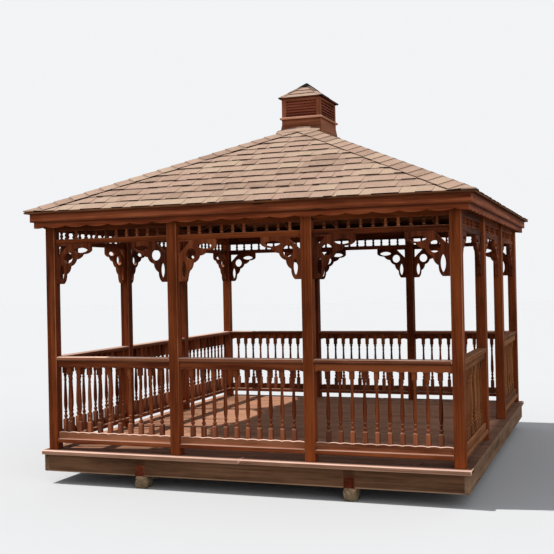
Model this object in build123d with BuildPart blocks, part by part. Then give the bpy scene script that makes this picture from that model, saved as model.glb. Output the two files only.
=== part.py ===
from build123d import *
import math
import os

# Rectangular wooden garden gazebo, three bays each way, on a raised deck.
# Front faces -Y, the entrance is the middle bay of the +X side, +Z is up, and
# the origin is the middle of the footprint at ground level. Sizes are in mm.

# Plan, over the outside faces of the posts
plan_width = 3658
plan_depth = 4050
bay_count = 3
post_size = 89
post_height = 2026
entrance_bay = 1

# Ground supports and floor
block_width = 120
block_length = 150
block_height = 110
block_rows = 3
skid_size = 89
skid_spacing = 1840
rim_depth = 146
rim_thick = 38
nosing_reach = 22
deck_overhang = 50
deck_thick = 38
joist_count = 8
skid_clearance = 1

# Railing
rail_height = 820
cap_thick = 38
cap_width = 89
cap_ease = 6
apron_depth = 64
trim_thick = 18
toe_trim_depth = 62
ledge_width = 19
bottom_rail_thick = 38
bottom_rail_lift = 62
baluster_size = 36
baluster_pitch_wanted = 100
foot_block_height = 145
head_block_height = 122
belly_radius = 17
neck_radius = 10
turning_sides = 6

# Spindle frieze under the top plate
header_depth = 101
frieze_thick = 40
frieze_rail_depth = 44
spindle_length = 71
spindle_foot = 28
spindle_head = 16

# Fretwork brackets
bracket_reach = 350
bracket_drop = 350
bracket_thick = 38
bracket_tip = 60
bracket_sag = 59
lobe_count = 5
lobe_rise = 14
lobe_steps = 3
corner_hole_inset = 14
corner_hole_leg = 98
round_hole_inset = 120
round_hole_radius = 46
round_hole_sides = 8
eye_inset = 57
eye_centre = 250
eye_half_length = 68
eye_half_width = 21
eye_shoulder = 36

# Top plates and eave boards
plate_thick = 38
plate_width = 140
skirt_thick = 19
skirt_depth = 142
scallop_depth = 16
scallop_width_wanted = 211
scallop_steps = 3
fascia_thick = 25
fascia_depth = 89

# Roof
roof_pitch = 5.5 / 12
roof_overhang = 135
roof_thick = 20
rafter_thick = 38
rafter_depth = 89
rafter_pitch_wanted = 600
rafter_heel = 51
rafter_fit = 0.3
cap_strip_width = 290
cap_strip_thick = 8

# Louvered cupola
cupola_width = 405
cupola_depth = 535
cupola_wall = 38
corner_board = 45
cupola_base_rise = 64
base_flare = 20
base_flare_drop = 130
flare_start = 16
sill_reach = 18
sill_thick = 20
louver_height = 162
head_rail_height = 25
louver_count = 5
slat_thick = 9
slat_depth = 38
slat_tilt = 40
cupola_roof_reach = 25
cupola_roof_rise = 168
cupola_roof_edge = 12
peak_cap_width = 96
peak_cap_thick = 8

# Heights above the ground that follow from the sizes
deck_top = block_height + rim_depth + deck_thick
plate_top = deck_top + post_height + plate_thick
frieze_rail_base = deck_top + post_height - header_depth - spindle_length - frieze_rail_depth

# Plan positions that follow from the sizes
width_pitch = (plan_width - post_size) / bay_count
depth_pitch = (plan_depth - post_size) / bay_count
width_clear = width_pitch - post_size
depth_clear = depth_pitch - post_size
plate_reach = plate_width - post_size
skirt_reach = plate_reach + skirt_thick
fascia_reach = skirt_reach + fascia_thick
pitch_angle = math.atan(roof_pitch)
roof_rise_thick = roof_thick / math.cos(pitch_angle)
rafter_rise_depth = rafter_depth / math.cos(pitch_angle)

os.makedirs("parts", exist_ok=True)


def save(piece, name):
    piece.part.label = name
    export_step(piece.part, f"parts/{name}.step")


# A wall plane has X along the wall, Y inwards and Z up, with its origin on the
# outside face of the posts at deck level.
def wall_plane(x, y, along):
    return Plane(origin=(x, y, deck_top), x_dir=along, z_dir=(0, 0, 1))


walls = {
    "front": wall_plane(0, -plan_depth / 2, (1, 0, 0)),
    "right": wall_plane(plan_width / 2, 0, (0, 1, 0)),
    "back": wall_plane(0, plan_depth / 2, (-1, 0, 0)),
    "left": wall_plane(-plan_width / 2, 0, (0, -1, 0)),
}
bay_pitch = {"front": width_pitch, "right": depth_pitch, "back": width_pitch, "left": depth_pitch}


def bay_centres(wall):
    middle = (bay_count - 1) / 2
    return [(bay - middle) * bay_pitch[wall] for bay in range(bay_count)]


def spot(wall, along, inward=0, up=0, turn=0):
    return walls[wall].location * Location((along, inward, up), (0, 0, turn))


# Foundation blocks and the two skids that lie on them
skid_length = plan_depth + 2 * (deck_overhang - nosing_reach)
block_span = skid_length - block_length

with BuildPart() as foundation_blocks:
    with BuildSketch():
        with GridLocations(skid_spacing, block_span / (block_rows - 1), 2, block_rows):
            Rectangle(block_width, block_length)
    extrude(amount=block_height)
save(foundation_blocks, "foundation_blocks")

with BuildPart() as skids:
    with BuildSketch(Plane.XY.offset(block_height)):
        with GridLocations(skid_spacing, 0, 2, 1):
            Rectangle(skid_size, skid_length)
    extrude(amount=skid_size)
save(skids, "skids")

# Floor frame: the cross beams at front, middle and back are notched over the
# skids, and the joists run between them
beam_length = plan_width + 2 * (deck_overhang - nosing_reach)
beam_spacing = (skid_length - rim_thick) / 2
notch_size = skid_size + 2 * skid_clearance


def notched_beam(length):
    with BuildPart() as beam:
        with BuildSketch(Plane.XZ.offset(-rim_thick / 2)):
            with Locations((0, block_height + rim_depth / 2)):
                Rectangle(length, rim_depth)
            with Locations((0, block_height + skid_size / 2)):
                with GridLocations(skid_spacing, 0, 2, 1):
                    Rectangle(notch_size, skid_size, mode=Mode.SUBTRACT)
        extrude(amount=rim_thick)
    return beam.part


with BuildPart() as cross_beams:
    with GridLocations(0, beam_spacing, 1, 3):
        add(notched_beam(beam_length - 2 * rim_thick))
save(cross_beams, "cross_beams")

with BuildPart() as side_rims:
    with BuildSketch(Plane.XY.offset(block_height)):
        with GridLocations(beam_length - rim_thick, 0, 2, 1):
            Rectangle(rim_thick, skid_length)
    extrude(amount=rim_depth)
save(side_rims, "side_rims")

joist_pitch = (beam_length - rim_thick) / (joist_count + 1)

with BuildPart() as joists:
    with BuildSketch(Plane.XY.offset(block_height)):
        with GridLocations(joist_pitch, beam_spacing, joist_count, 2):
            Rectangle(rim_thick, beam_spacing - rim_thick)
    extrude(amount=rim_depth)
save(joists, "joists")

with BuildPart() as deck:
    with BuildSketch(Plane.XY.offset(deck_top - deck_thick)):
        Rectangle(plan_width + 2 * deck_overhang, plan_depth + 2 * deck_overhang)
    extrude(amount=deck_thick)
save(deck, "deck")

# Posts stand on the deck
with BuildPart() as posts_front:
    with BuildSketch(Plane.XY.offset(deck_top)):
        with Locations((0, (post_size - plan_depth) / 2)):
            with GridLocations(width_pitch, 0, bay_count + 1, 1):
                Rectangle(post_size, post_size)
    extrude(amount=post_height)
save(posts_front, "posts_front")

with BuildPart() as posts_back:
    mirror(posts_front.part, about=Plane.XZ)
save(posts_back, "posts_back")

with BuildPart() as posts_sides:
    with BuildSketch(Plane.XY.offset(deck_top)):
        with GridLocations(plan_width - post_size, depth_pitch, 2, bay_count - 1):
            Rectangle(post_size, post_size)
    extrude(amount=post_height)
save(posts_sides, "posts_sides")

# One turned baluster: square foot and head with a tapered shaft between them
foot_base = bottom_rail_lift + bottom_rail_thick
foot_top = foot_base + foot_block_height
head_base = rail_height - cap_thick - head_block_height
shaft_length = head_base - foot_top
shaft_slope = (belly_radius - neck_radius) * math.cos(math.pi / turning_sides) / shaft_length

with BuildPart() as baluster:
    with BuildSketch(Plane.XY.offset(foot_base)):
        Rectangle(baluster_size, baluster_size)
    extrude(amount=foot_block_height)
    with BuildSketch(Plane.XY.offset(foot_top)):
        RegularPolygon(belly_radius, turning_sides)
    extrude(amount=shaft_length, taper=math.degrees(math.atan(shaft_slope)))
    with BuildSketch(Plane.XY.offset(head_base)):
        Rectangle(baluster_size, baluster_size)
    extrude(amount=head_block_height)


# Rail panel between two posts, seen from outside: cap, apron, balusters,
# scalloped toe trim and bottom rail
def rail_panel(clear_width):
    count = round(clear_width / baluster_pitch_wanted) - 1
    pitch = clear_width / (count + 1)
    trim_middle = ledge_width + trim_thick / 2
    baluster_middle = ledge_width + trim_thick + baluster_size / 2
    with BuildPart() as panel:
        with BuildSketch(Plane.XY.offset(rail_height - cap_thick)):
            with Locations((0, post_size / 2)):
                Rectangle(clear_width, cap_width)
        extrude(amount=cap_thick)
        chamfer(panel.edges().filter_by(Axis.X).group_by(Axis.Z)[-1], cap_ease)
        with BuildSketch(Plane.XY.offset(rail_height - cap_thick)):
            with Locations((0, trim_middle)):
                Rectangle(clear_width, trim_thick)
        extrude(amount=-apron_depth)
        with BuildSketch(Plane.XY.offset(foot_base)):
            with Locations((0, trim_middle)):
                Rectangle(clear_width, trim_thick)
        extrude(amount=toe_trim_depth)
        with BuildSketch(Plane.XY.offset(bottom_rail_lift)):
            with Locations((0, post_size / 2)):
                Rectangle(clear_width, post_size)
        extrude(amount=bottom_rail_thick)
        with Locations((0, baluster_middle)):
            with GridLocations(pitch, 0, count, 1):
                add(baluster.part)
    return panel.part


# Every bay has a rail except the entrance
rail_masters = {"front": rail_panel(width_clear), "right": rail_panel(depth_clear)}
rail_masters["back"] = rail_masters["front"]
rail_masters["left"] = rail_masters["right"]

for wall in walls:
    for bay, centre in enumerate(bay_centres(wall)):
        if wall == "right" and bay == entrance_bay:
            continue
        with BuildPart() as rail:
            with Locations(spot(wall, centre)):
                add(rail_masters[wall])
        save(rail, f"rail_{wall}_{bay + 1}")

# One frieze spindle, tapered upwards
spindle_slope = (spindle_foot - spindle_head) / 2 / spindle_length

with BuildPart() as spindle:
    with BuildSketch():
        Rectangle(spindle_foot, spindle_foot)
    extrude(amount=spindle_length, taper=math.degrees(math.atan(spindle_slope)))


# Frieze panel between two posts: header, spindles and lower rail
def frieze_panel(clear_width):
    count = round(clear_width / baluster_pitch_wanted) - 1
    pitch = clear_width / (count + 1)
    rail_base = frieze_rail_base - deck_top
    spindle_base = rail_base + frieze_rail_depth
    with BuildPart() as panel:
        with BuildSketch(Plane.XY.offset(rail_base)):
            with Locations((0, post_size / 2)):
                Rectangle(clear_width, frieze_thick)
        extrude(amount=frieze_rail_depth)
        with BuildSketch(Plane.XY.offset(post_height)):
            with Locations((0, post_size / 2)):
                Rectangle(clear_width, frieze_thick)
        extrude(amount=-header_depth)
        with Locations((0, post_size / 2, spindle_base)):
            with GridLocations(pitch, 0, count, 1):
                add(spindle.part)
    return panel.part


frieze_masters = {"front": frieze_panel(width_clear), "right": frieze_panel(depth_clear)}
frieze_masters["back"] = frieze_masters["front"]
frieze_masters["left"] = frieze_masters["right"]

for wall in walls:
    with BuildPart() as frieze:
        with Locations(*[spot(wall, centre) for centre in bay_centres(wall)]):
            add(frieze_masters[wall])
    save(frieze, f"frieze_{wall}")


# Fretwork bracket: the corner sits at the origin, one leg runs along the
# frieze rail and the other down the post. The free edge is hollow, with lobes.
def lobed_edge():
    start = Vector(bracket_reach, -bracket_tip)
    end = Vector(bracket_tip, -bracket_drop)
    outward = Vector(bracket_drop - bracket_tip, bracket_tip - bracket_reach).normalized()
    steps = lobe_count * lobe_steps
    points = []
    for step in range(steps + 1):
        share = step / steps
        swell = lobe_rise * abs(math.sin(lobe_count * math.pi * share))
        hollow = bracket_sag * 4 * share * (1 - share)
        points.append(start + (end - start) * share + outward * (swell - hollow))
    return points


# An eye-shaped hole, pointed at both ends
def eye_points(middle, along):
    across = Vector(-along.Y, along.X) * eye_half_width
    tip = along * eye_half_length
    shoulder = along * eye_shoulder
    upper = [middle + shoulder + across, middle - shoulder + across]
    lower = [middle - shoulder - across, middle + shoulder - across]
    return [middle + tip, *upper, middle - tip, *lower]


with BuildPart() as bracket:
    with BuildSketch(Plane.XZ):
        Polygon((0, 0), (bracket_reach, 0), *lobed_edge(), (0, -bracket_drop))
        Polygon(
            (corner_hole_inset, -corner_hole_inset),
            (corner_hole_inset + corner_hole_leg, -corner_hole_inset),
            (corner_hole_inset, -corner_hole_inset - corner_hole_leg),
            mode=Mode.SUBTRACT,
        )
        with Locations((round_hole_inset, -round_hole_inset)):
            RegularPolygon(round_hole_radius, round_hole_sides, mode=Mode.SUBTRACT)
        Polygon(*eye_points(Vector(eye_centre, -eye_inset), Vector(1, 0)), mode=Mode.SUBTRACT)
        Polygon(*eye_points(Vector(eye_inset, -eye_centre), Vector(0, 1)), mode=Mode.SUBTRACT)
    extrude(amount=bracket_thick / 2, both=True)

bracket_up = frieze_rail_base - deck_top
bracket_inward = post_size / 2

for wall in walls:
    half_clear = (bay_pitch[wall] - post_size) / 2
    places = []
    for centre in bay_centres(wall):
        places.append(spot(wall, centre - half_clear, bracket_inward, bracket_up))
        places.append(spot(wall, centre + half_clear, bracket_inward, bracket_up, 180))
    with BuildPart() as brackets:
        with Locations(*places):
            add(bracket.part)
    save(brackets, f"brackets_{wall}")

# Top plates on the posts, flush inside and proud outside
plate_base = deck_top + post_height
plate_line = plate_reach - plate_width / 2

with BuildPart() as plates_front_back:
    with BuildSketch(Plane.XY.offset(plate_base)):
        with GridLocations(0, plan_depth + 2 * plate_line, 1, 2):
            Rectangle(plan_width + 2 * plate_reach, plate_width)
    extrude(amount=plate_thick)
save(plates_front_back, "plates_front_back")

with BuildPart() as plates_sides:
    with BuildSketch(Plane.XY.offset(plate_base)):
        with GridLocations(plan_width + 2 * plate_line, 0, 2, 1):
            Rectangle(plate_width, plan_depth - 2 * post_size)
    extrude(amount=plate_thick)
save(plates_sides, "plates_sides")

# Hip roof with its ridge along the longer side. Its underside at the eave edge
# follows from the rafter heel over the plate.
roof_width = plan_width + 2 * roof_overhang
roof_depth = plan_depth + 2 * roof_overhang
roof_run = min(roof_width, roof_depth) / 2
roof_under = plate_top + rafter_heel - (roof_overhang - plate_reach) * roof_pitch
roof_edge_top = roof_under + roof_rise_thick
ridge_top = roof_edge_top + roof_run * roof_pitch
ridge_half_x = roof_width / 2 - roof_run
ridge_half_y = roof_depth / 2 - roof_run


# Height of the roof's underside over a point `reach` outside the posts
def roof_under_at(reach):
    return roof_under + (roof_overhang - reach) * roof_pitch


# Scalloped skirt board outside the plates
skirt_base = roof_under_at(fascia_reach) - skirt_depth


def scalloped_board(length):
    waves = round(length / scallop_width_wanted)
    steps = waves * scallop_steps
    points = []
    for step in range(steps + 1):
        share = step / steps
        lift = scallop_depth * (1 - math.cos(2 * math.pi * waves * share)) / 2
        points.append((length * (share - 0.5), skirt_base + lift))
    top = skirt_base + skirt_depth
    Polygon((-length / 2, top), *points, (length / 2, top))


skirt_y = plan_depth / 2 + skirt_reach
skirt_x = plan_width / 2 + skirt_reach

with BuildPart() as skirt_front_back:
    with BuildSketch(Plane.XZ.offset(skirt_y)):
        scalloped_board(2 * skirt_x)
    extrude(amount=-skirt_thick)
    mirror(about=Plane.XZ)
save(skirt_front_back, "skirt_front_back")

with BuildPart() as skirt_sides:
    with BuildSketch(Plane.YZ.offset(skirt_x)):
        scalloped_board(2 * (skirt_y - skirt_thick))
    extrude(amount=-skirt_thick)
    mirror(about=Plane.YZ)
save(skirt_sides, "skirt_sides")

# Fascia boards outside the skirt
fascia_top = roof_under_at(fascia_reach)

with BuildPart() as fascia_front_back:
    with BuildSketch(Plane.XY.offset(fascia_top - fascia_depth)):
        with GridLocations(0, plan_depth + 2 * fascia_reach - fascia_thick, 1, 2):
            Rectangle(plan_width + 2 * fascia_reach, fascia_thick)
    extrude(amount=fascia_depth)
save(fascia_front_back, "fascia_front_back")

with BuildPart() as fascia_sides:
    with BuildSketch(Plane.XY.offset(fascia_top - fascia_depth)):
        with GridLocations(plan_width + 2 * fascia_reach - fascia_thick, 0, 2, 1):
            Rectangle(fascia_thick, plan_depth + 2 * skirt_reach)
    extrude(amount=fascia_depth)
save(fascia_sides, "fascia_sides")


def gable_outline(run, pitch, eave, low):
    return [(-run, low), (-run, eave), (0, eave + run * pitch), (run, eave), (run, low)]


# A solid hip roof: two crossed prisms with upright sides down to `low`
def hip_solid(width, depth, pitch, eave, low):
    with BuildPart() as hip:
        with BuildSketch(Plane.XZ.offset(-depth / 2)):
            Polygon(*gable_outline(width / 2, pitch, eave, low))
        extrude(amount=depth)
        with BuildSketch(Plane.YZ.offset(-width / 2)):
            Polygon(*gable_outline(depth / 2, pitch, eave, low))
        extrude(amount=width, mode=Mode.INTERSECT)
    return hip.part


eave_length = {"front": roof_width, "right": roof_depth, "back": roof_width, "left": roof_depth}
slope_run = {"front": roof_depth / 2, "right": roof_width / 2, "back": roof_depth / 2, "left": roof_width / 2}


# Upright prism over the roof that drains to one eave: 45 degree hip lines up to
# the middle of the roof, pulled in from hips and ridge by `gap`
def slope_prism(wall, gap):
    half_eave = eave_length[wall] / 2 - gap * math.sqrt(2)
    run = slope_run[wall] - gap
    with BuildPart() as prism:
        with BuildSketch(walls[wall]):
            Polygon((-half_eave, -roof_overhang), (half_eave, -roof_overhang), (0, half_eave - roof_overhang))
            with Locations((0, run / 2 - roof_overhang)):
                Rectangle(2 * half_eave, run, mode=Mode.INTERSECT)
        extrude(amount=2 * post_height)
    return prism.part


roof_top_solid = hip_solid(roof_width, roof_depth, roof_pitch, roof_edge_top, roof_under)
roof_under_solid = hip_solid(roof_width, roof_depth, roof_pitch, roof_under, deck_top)

for wall in walls:
    with BuildPart() as slope:
        add(roof_top_solid)
        add(roof_under_solid, mode=Mode.SUBTRACT)
        add(slope_prism(wall, 0), mode=Mode.INTERSECT)
    save(slope, f"roof_{wall}")

# Rafters bear on the plates and end at the hip rafters and ridge board
rafter_low = plate_top + rafter_heel
seat_length = (rafter_rise_depth - rafter_heel) / roof_pitch


def rafter_outline(half_span):
    run = half_span + plate_reach
    top = rafter_low + run * roof_pitch
    lower_edge = [(0, top - rafter_rise_depth), (seat_length - run, plate_top)]
    return [(-run, plate_top), (-run, rafter_low), (0, top), *lower_edge]


def rafter_rows(span):
    count = round(span / rafter_pitch_wanted)
    return [(row - (count - 1) / 2) * span / count for row in range(count)]


hip_gap = rafter_thick / 2 + rafter_fit

with BuildPart() as front_rafters:
    for row in rafter_rows(plan_width):
        with BuildSketch(Plane.YZ.offset(row - rafter_thick / 2)):
            Polygon(*rafter_outline(plan_depth / 2))
        extrude(amount=rafter_thick)
    add(slope_prism("front", hip_gap), mode=Mode.INTERSECT)
    mirror(about=Plane.XZ)

with BuildPart() as side_rafters:
    for row in rafter_rows(plan_depth):
        with BuildSketch(Plane.XZ.offset(-row - rafter_thick / 2)):
            Polygon(*rafter_outline(plan_width / 2))
        extrude(amount=rafter_thick)
    add(slope_prism("left", hip_gap), mode=Mode.INTERSECT)
    mirror(about=Plane.YZ)

with BuildPart() as rafters:
    add(front_rafters.part)
    add(side_rafters.part)
save(rafters, "rafters")


# Plan of the ridge and the four hips as strips of one width. The hips start
# `inset` along their own line from the end of the ridge.
def hip_strips(width, inset):
    length = math.sqrt(2) * roof_run - inset
    middle = (inset + length / 2) / math.sqrt(2)
    Rectangle(max(width, 2 * ridge_half_x), max(width, 2 * ridge_half_y))
    for end in (-1, 1):
        for side in (-1, 1):
            hip_middle = (side * (ridge_half_x + middle), end * (ridge_half_y + middle))
            with Locations(Location(hip_middle, end * side * 45)):
                Rectangle(length, width)


with BuildPart() as hip_rafters:
    with BuildSketch(Plane.XY.offset(plate_top)):
        hip_strips(rafter_thick, hip_gap)
        Rectangle(plan_width + 2 * plate_reach, plan_depth + 2 * plate_reach, mode=Mode.INTERSECT)
    extrude(amount=post_height)
    add(roof_under_solid, mode=Mode.INTERSECT)
    add(
        hip_solid(roof_width, roof_depth, roof_pitch, roof_under - rafter_rise_depth, deck_top),
        mode=Mode.SUBTRACT,
    )
save(hip_rafters, "hip_rafters")

# Shingle caps folded over the hips and the ridge
cap_rise = cap_strip_thick / math.cos(pitch_angle)

with BuildPart() as hip_caps:
    with BuildSketch(Plane.XY.offset(roof_under)):
        hip_strips(cap_strip_width, 0)
        Rectangle(roof_width, roof_depth, mode=Mode.INTERSECT)
    extrude(amount=post_height)
    add(
        hip_solid(roof_width, roof_depth, roof_pitch, roof_edge_top + cap_rise, roof_under),
        mode=Mode.INTERSECT,
    )
    add(roof_top_solid, mode=Mode.SUBTRACT)
save(hip_caps, "hip_and_ridge_caps")

# Cupola base, saddled over the roof, with a flared foot
sill_base = ridge_top + cupola_base_rise
flare_top = ridge_top + flare_start
flare_low = flare_top - base_flare_drop
flare_slope = base_flare / base_flare_drop

with BuildPart() as cupola_base:
    with BuildSketch(Plane.XY.offset(flare_low)):
        Rectangle(cupola_width + 2 * base_flare, cupola_depth + 2 * base_flare)
    extrude(amount=base_flare_drop, taper=math.degrees(math.atan(flare_slope)))
    with BuildSketch(Plane.XY.offset(flare_top)):
        Rectangle(cupola_width, cupola_depth)
    extrude(amount=sill_base - flare_top)
    with BuildSketch(Plane.XY.offset(sill_base)):
        Rectangle(cupola_width + 2 * sill_reach, cupola_depth + 2 * sill_reach)
    extrude(amount=sill_thick)
    add(roof_top_solid, mode=Mode.SUBTRACT)
    add(hip_caps.part, mode=Mode.SUBTRACT)
save(cupola_base, "cupola_base")

# Louvered body: four frames with tilted slats
body_base = sill_base + sill_thick
body_height = louver_height + head_rail_height
window_width = cupola_width - 2 * corner_board
window_depth = cupola_depth - 2 * corner_board
slat_pitch = louver_height / louver_count

with BuildPart() as cupola_louvers:
    with BuildSketch(Plane.XY.offset(body_base)):
        Rectangle(cupola_width, cupola_depth)
        Rectangle(cupola_width - 2 * cupola_wall, cupola_depth - 2 * cupola_wall, mode=Mode.SUBTRACT)
    extrude(amount=body_height)
    with BuildSketch(Plane.XY.offset(body_base)):
        Rectangle(window_width, cupola_depth)
        Rectangle(cupola_width, window_depth)
    extrude(amount=louver_height, mode=Mode.SUBTRACT)
    for turn in range(4):
        face = Location((0, 0, 0), (0, 0, 90 * turn))
        slat_length = window_depth if turn % 2 else window_width
        wall_middle = (cupola_wall - (cupola_width if turn % 2 else cupola_depth)) / 2
        for row in range(louver_count):
            slat_up = body_base + (row + 0.5) * slat_pitch
            with Locations(face * Location((0, wall_middle, slat_up), (slat_tilt, 0, 0))):
                Box(slat_length, slat_depth, slat_thick)
save(cupola_louvers, "cupola_louvers")

# Cupola roof, hipped to a short ridge, and the folded cap along that ridge
cupola_eave = body_base + body_height
cupola_roof_width = cupola_width + 2 * cupola_roof_reach
cupola_roof_depth = cupola_depth + 2 * cupola_roof_reach
cupola_pitch = 2 * cupola_roof_rise / min(cupola_roof_width, cupola_roof_depth)
cupola_ridge_x = max(cupola_roof_width - cupola_roof_depth, 0)
cupola_ridge_y = max(cupola_roof_depth - cupola_roof_width, 0)
cupola_slope_base = cupola_eave + cupola_roof_edge


def cupola_hip(lift):
    return hip_solid(
        cupola_roof_width,
        cupola_roof_depth,
        cupola_pitch,
        cupola_slope_base + lift,
        cupola_eave,
    )


with BuildPart() as cupola_roof:
    add(cupola_hip(0))
save(cupola_roof, "cupola_roof")

with BuildPart() as cupola_peak_cap:
    add(cupola_hip(peak_cap_thick))
    with BuildSketch(Plane.XY.offset(cupola_eave)):
        Rectangle(peak_cap_width + cupola_ridge_x, peak_cap_width + cupola_ridge_y)
    extrude(amount=2 * cupola_roof_rise, mode=Mode.INTERSECT)
    add(cupola_roof.part, mode=Mode.SUBTRACT)
save(cupola_peak_cap, "cupola_peak_cap")
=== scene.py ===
import bpy
import math
import random
from mathutils import Matrix, Vector, noise


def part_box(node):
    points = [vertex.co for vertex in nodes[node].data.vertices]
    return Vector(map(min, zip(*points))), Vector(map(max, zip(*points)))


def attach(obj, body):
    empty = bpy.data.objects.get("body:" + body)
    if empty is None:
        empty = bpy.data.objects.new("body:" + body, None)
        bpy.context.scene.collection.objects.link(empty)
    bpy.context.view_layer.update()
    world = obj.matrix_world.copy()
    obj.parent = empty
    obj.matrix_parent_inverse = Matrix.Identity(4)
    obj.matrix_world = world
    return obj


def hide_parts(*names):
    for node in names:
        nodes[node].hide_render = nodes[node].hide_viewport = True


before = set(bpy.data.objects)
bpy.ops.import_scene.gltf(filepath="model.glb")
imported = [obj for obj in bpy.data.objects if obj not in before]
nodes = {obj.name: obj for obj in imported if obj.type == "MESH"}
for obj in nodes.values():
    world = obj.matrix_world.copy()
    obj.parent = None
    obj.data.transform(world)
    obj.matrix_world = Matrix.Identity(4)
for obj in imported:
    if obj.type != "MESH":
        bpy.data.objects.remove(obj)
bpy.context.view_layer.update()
print("frame loaded:", len(nodes), "nodes")

# Places come from the frame, in metres
deckLow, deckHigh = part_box("deck")
postLow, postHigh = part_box("posts_front")
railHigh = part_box("rail_front_2")[1]
rimLow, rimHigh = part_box("cross_beams")
fasciaLow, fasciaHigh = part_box("fascia_front_back")
roofLow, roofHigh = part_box("roof_front")
cupolaLow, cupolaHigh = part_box("cupola_louvers")
bays = 3
deckTop = deckHigh.z
postSize = postHigh.y - postLow.y
halfWidth = postHigh.x
halfDepth = -postLow.y
walls = {
    "front": {"turn": 0, "out": halfDepth, "half": halfWidth},
    "right": {"turn": 90, "out": halfWidth, "half": halfDepth},
    "back": {"turn": 180, "out": halfDepth, "half": halfWidth},
    "left": {"turn": -90, "out": halfWidth, "half": halfDepth},
}
entrance = ("right", 2)
skidMiddle = 0.92  # from the middle of the deck to the middle of each skid
capThick = 0.038  # the rails' cap


def move(x=0.0, y=0.0, z=0.0):
    return Matrix.Translation((x, y, z))


def spin(degrees, axis="Z"):
    return Matrix.Rotation(math.radians(degrees), 4, axis)


# A wall's own space: x along it, y inwards from the posts' outside face, z up from the deck
def wallSpace(wall):
    return spin(walls[wall]["turn"]) @ move(0, -walls[wall]["out"], deckTop)


def bayPitch(wall):
    return (2 * walls[wall]["half"] - postSize) / bays


def bayClear(wall):
    return bayPitch(wall) - postSize


def bayMiddle(wall, bay):
    return (bay - (bays + 1) / 2) * bayPitch(wall)


def smooth(low, high, value):
    share = min(max((value - low) / (high - low), 0.0), 1.0)
    return share * share * (3 - 2 * share)


def clamp(value, reach):
    return min(max(value, -reach), reach)


# A new object for this data, in the scene
def put(name, data):
    made = bpy.data.objects.new(name, data)
    bpy.context.scene.collection.objects.link(made)
    return made


# Camera, light and floor
cameraSetup = {
    "place": (2.9296, -9.1628, 1.7396), "turn": 19.893, "tilt": 0.268, "roll": -1.156,
    "lens": 61.11, "sensor": 36.0, "reach": 200,
}
lightSetup = {
    "sun": {"power": 3.4, "angle": 1.2, "height": 59.9, "turn": -80.0, "color": (1.0, 0.965, 0.91)},
    "fill": {"power": 0.85, "angle": 80.0, "height": 12.0, "turn": 46.0, "color": (1.0, 0.96, 0.90)},
    "sky": ((0.93, 0.96, 1.0), 0.42),  # color and strength
    "backdrop": ((0.885, 0.90, 0.92), 1.0),
    "floorColor": (0.640, 0.660, 0.690),
    "floorDrift": (0.5, 0.5, 0.5),
    "bounceColor": (0.26, 0.255, 0.22),
    "floorReach": 60.0,
}


def makeCamera():
    cam = bpy.data.cameras.new("photoCamera")
    cam.lens = cameraSetup["lens"]
    cam.sensor_width = cameraSetup["sensor"]
    cam.clip_end = cameraSetup["reach"]
    holder = put("photoCamera", cam)
    aim = spin(cameraSetup["turn"]) @ spin(90 + cameraSetup["tilt"], "X") @ spin(cameraSetup["roll"])
    holder.matrix_world = Matrix.Translation(cameraSetup["place"]) @ aim
    bpy.context.scene.camera = holder


def makeLight():
    for name in ("sun", "fill"):
        setup = lightSetup[name]
        lamp = bpy.data.lights.new(name, "SUN")
        lamp.energy = setup["power"]
        lamp.angle = math.radians(setup["angle"])
        lamp.color = setup["color"]
        put(name, lamp).matrix_world = spin(setup["turn"]) @ spin(90 - setup["height"], "X")

    world = bpy.data.worlds.new("paleSky")
    bpy.context.scene.world = world
    world.use_nodes = True
    tree = world.node_tree
    tree.nodes.clear()
    pick = tree.nodes.new("ShaderNodeMixShader")
    path = tree.nodes.new("ShaderNodeLightPath")
    tree.links.new(path.outputs["Is Camera Ray"], pick.inputs[0])
    for socket, part in ((1, "sky"), (2, "backdrop")):
        color, power = lightSetup[part]
        glow = tree.nodes.new("ShaderNodeBackground")
        glow.inputs["Color"].default_value = (*color, 1)
        glow.inputs["Strength"].default_value = power
        tree.links.new(glow.outputs[0], pick.inputs[socket])
    out = tree.nodes.new("ShaderNodeOutputWorld")
    tree.links.new(pick.outputs[0], out.inputs[0])


# Painted as sRGB 0-255, used as linear light
def paint(red, green, blue):
    shades = [value / 255 for value in (red, green, blue)]
    return tuple(s / 12.92 if s <= 0.04045 else ((s + 0.055) / 1.055) ** 2.4 for s in shades)


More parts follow.
